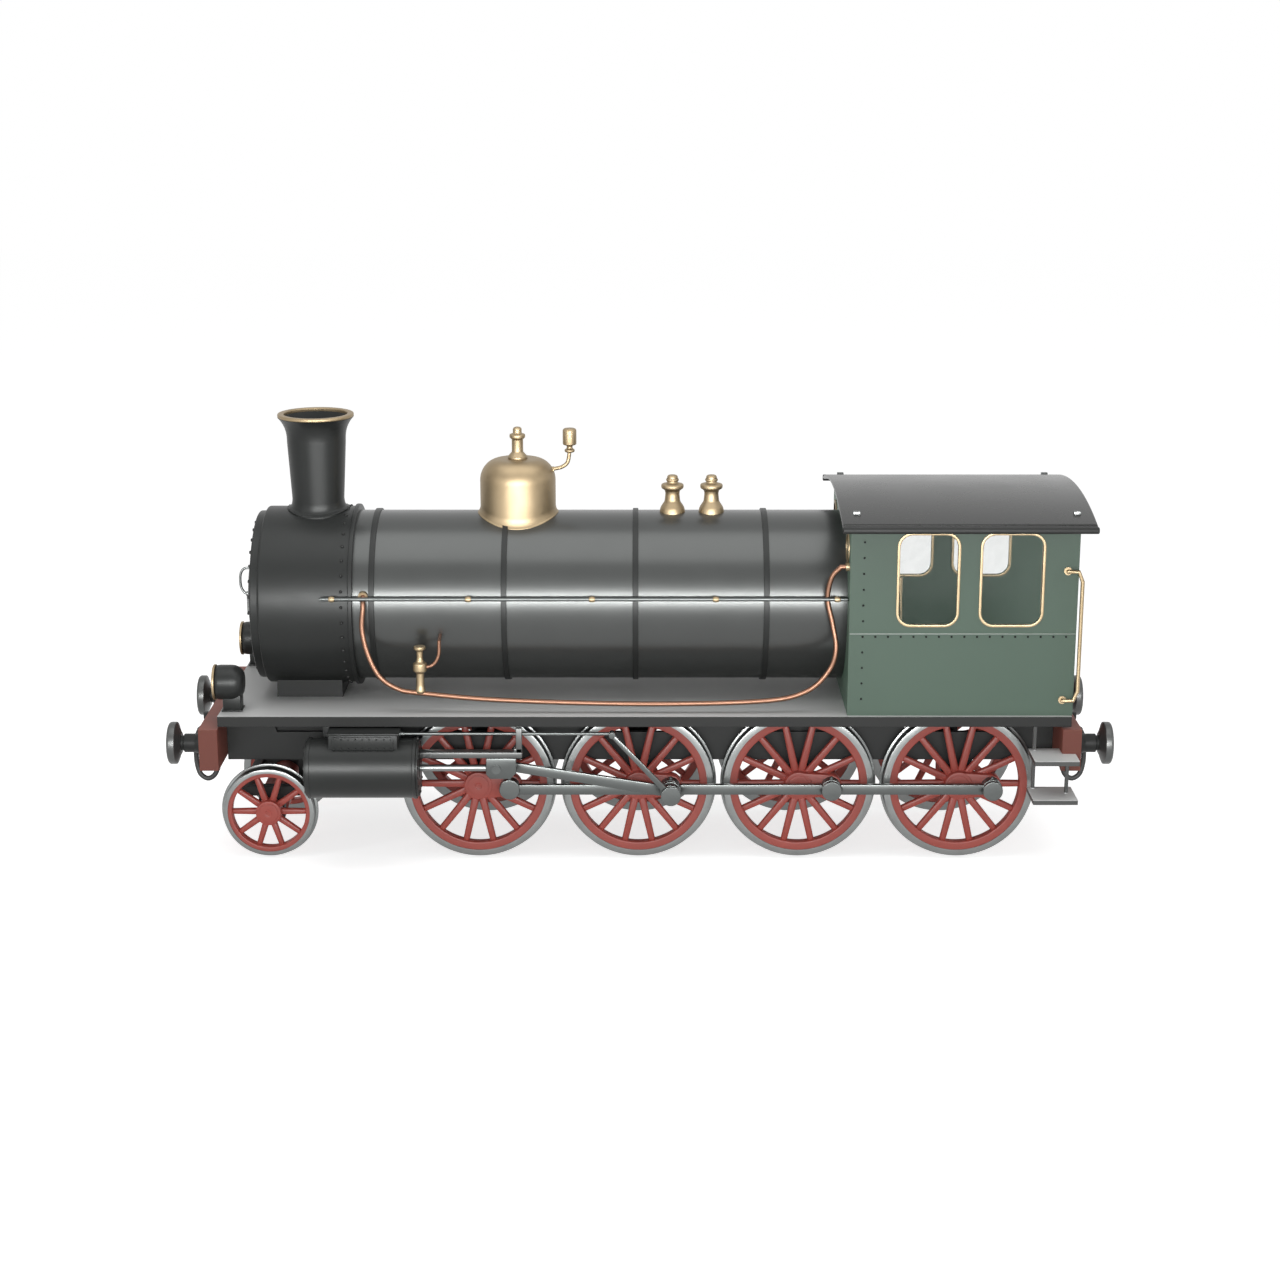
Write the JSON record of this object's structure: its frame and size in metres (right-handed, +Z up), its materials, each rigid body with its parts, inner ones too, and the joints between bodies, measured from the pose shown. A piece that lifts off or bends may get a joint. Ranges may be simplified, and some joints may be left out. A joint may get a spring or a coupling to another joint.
{
  "type": "steam locomotive",
  "caption": "Small steam locomotive: boiler with brass dome, green cab, red spoked wheels, outside cylinders and rods, pony truck and buffers.",
  "frame": {"origin": "centre of the whole model's footprint, at the wheel flanges' lowest line", "axes": "+X towards the rear along the locomotive, -Y its left side, +Z up"},
  "size_m": [9.55, 2.8978, 4.486],
  "materials": {
    "boiler_black": "satin",
    "frame_black": "matte",
    "footplate_grey": "matte",
    "cab_green": "satin",
    "wheel_red": "satin",
    "beam_red": "matte",
    "steel": "brushed",
    "brass": "polished",
    "copper": "polished",
    "rubber": "matte",
    "step_grey": "matte"
  },
  "bodies": {
    "locomotive": {"boiler": "boiler_black", "smokebox": "boiler_black", "chimney": "boiler_black", "steam_dome": "brass", "safety_valve_front": "brass", "safety_valve_rear": "brass", "handrail_left": "steel", "handrail_right": "steel", "feed_pipe_left": "copper", "feed_pipe_right": "copper", "main_frame_left": "frame_black", "main_frame_right": "frame_black", "saddle": "frame_black", "firebox": "boiler_black", "pivot_stretcher": "frame_black", "footplate": "footplate_grey", "lamp_left": "frame_black", "lamp_right": "frame_black", "steps_left": "step_grey", "steps_right": "step_grey", "cab_side_left": "cab_green", "cab_side_right": "cab_green", "cab_front": "cab_green", "cab_roof": "frame_black", "cylinder_left": "frame_black", "cylinder_right": "frame_black", "buffer_beam_front": "beam_red", "buffer_beam_rear": "beam_red", "buffer_front_left": "frame_black", "buffer_front_right": "frame_black", "buffer_rear_left": "frame_black", "buffer_rear_right": "frame_black", "brake_hose_front": "rubber", "brake_hose_rear": "rubber"},
    "smokebox_door": {"smokebox_door": "boiler_black"},
    "pony_truck": {"pony_truck": "frame_black"},
    "pony_wheelset": {"axle_pony": "wheel_red", "wheel_pony_left": "wheel_red", "wheel_pony_right": "wheel_red"},
    "wheelset_1": {"axle_1": "wheel_red", "wheel_1_left": "wheel_red", "wheel_1_right": "wheel_red"},
    "wheelset_2": {"axle_2": "wheel_red", "wheel_2_left": "wheel_red", "wheel_2_right": "wheel_red"},
    "wheelset_3": {"axle_3": "wheel_red", "wheel_3_left": "wheel_red", "wheel_3_right": "wheel_red"},
    "wheelset_4": {"axle_4": "wheel_red", "wheel_4_left": "wheel_red", "wheel_4_right": "wheel_red"},
    "side_rod_left": {"side_rod_left": "steel"},
    "connecting_rod_left": {"connecting_rod_left": "steel"},
    "eccentric_rod_left": {"eccentric_rod_left": "steel"},
    "crosshead_left": {"crosshead_left": "steel"},
    "side_rod_right": {"side_rod_right": "steel"},
    "connecting_rod_right": {"connecting_rod_right": "steel"},
    "eccentric_rod_right": {"eccentric_rod_right": "steel"},
    "crosshead_right": {"crosshead_right": "steel"}
  },
  "joints": [
    {"name": "wheelset_1_roll", "type": "hinge", "parent": "locomotive", "child": "wheelset_1", "pos_m": [-1.645, 0, 0.795], "axis": [0, 1, 0], "continuous": true},
    {"name": "wheelset_2_roll", "type": "hinge", "parent": "locomotive", "child": "wheelset_2", "pos_m": [-0.015, 0, 0.795], "axis": [0, 1, 0], "continuous": true},
    {"name": "wheelset_3_roll", "type": "hinge", "parent": "locomotive", "child": "wheelset_3", "pos_m": [1.615, 0, 0.795], "axis": [0, 1, 0], "continuous": true},
    {"name": "wheelset_4_roll", "type": "hinge", "parent": "locomotive", "child": "wheelset_4", "pos_m": [3.245, 0, 0.795], "axis": [0, 1, 0], "continuous": true},
    {"name": "side_rod_left_pin", "type": "hinge", "parent": "wheelset_2", "child": "side_rod_left", "pos_m": [0.309, -0.915, 0.795], "axis": [0, 1, 0], "continuous": true},
    {"name": "connecting_rod_left_pin", "type": "hinge", "parent": "wheelset_2", "child": "connecting_rod_left", "pos_m": [0.309, -0.995, 0.795], "axis": [0, 1, 0], "continuous": true},
    {"name": "eccentric_rod_left_pin", "type": "hinge", "parent": "wheelset_2", "child": "eccentric_rod_left", "pos_m": [0.309, -1.145, 0.795], "axis": [0, 1, 0], "continuous": true},
    {"name": "crosshead_left_slide", "type": "slide", "parent": "locomotive", "child": "crosshead_left", "axis": [1, 0, 0], "range_m": [-0.648, 0]},
    {"name": "side_rod_right_pin", "type": "hinge", "parent": "wheelset_2", "child": "side_rod_right", "pos_m": [-0.015, 0.915, 1.119], "axis": [0, 1, 0], "continuous": true},
    {"name": "connecting_rod_right_pin", "type": "hinge", "parent": "wheelset_2", "child": "connecting_rod_right", "pos_m": [-0.015, 0.995, 1.119], "axis": [0, 1, 0], "continuous": true},
    {"name": "eccentric_rod_right_pin", "type": "hinge", "parent": "wheelset_2", "child": "eccentric_rod_right", "pos_m": [-0.015, 1.145, 1.119], "axis": [0, 1, 0], "continuous": true},
    {"name": "crosshead_right_slide", "type": "slide", "parent": "locomotive", "child": "crosshead_right", "axis": [1, 0, 0], "range_m": [-0.30045, 0.34755]},
    {"name": "pony_truck_swing", "type": "hinge", "parent": "locomotive", "child": "pony_truck", "pos_m": [-2.62, 0, 0.7], "axis": [0, 0, 1], "range_deg": [-4, 4]},
    {"name": "pony_wheelset_roll", "type": "hinge", "parent": "pony_truck", "child": "pony_wheelset", "pos_m": [-3.797, 0, 0.495], "axis": [0, 1, 0], "continuous": true},
    {"name": "smokebox_door_swing", "type": "hinge", "parent": "locomotive", "child": "smokebox_door", "pos_m": [-3.955, 0.67, 2.603], "axis": [0, 0, -1], "range_deg": [0, 95]}
  ],
  "couplings": [
    {"joint": "wheelset_1_roll", "follows": "wheelset_2_roll", "ratio": 1},
    {"joint": "wheelset_3_roll", "follows": "wheelset_2_roll", "ratio": 1},
    {"joint": "wheelset_4_roll", "follows": "wheelset_2_roll", "ratio": 1},
    {"joint": "side_rod_left_pin", "follows": "wheelset_2_roll", "ratio": -1},
    {"joint": "connecting_rod_left_pin", "follows": "wheelset_2_roll", "ratio": -1},
    {"joint": "eccentric_rod_left_pin", "follows": "wheelset_2_roll", "ratio": -1},
    {"joint": "side_rod_right_pin", "follows": "wheelset_2_roll", "ratio": -1},
    {"joint": "connecting_rod_right_pin", "follows": "wheelset_2_roll", "ratio": -1},
    {"joint": "eccentric_rod_right_pin", "follows": "wheelset_2_roll", "ratio": -1}
  ]
}
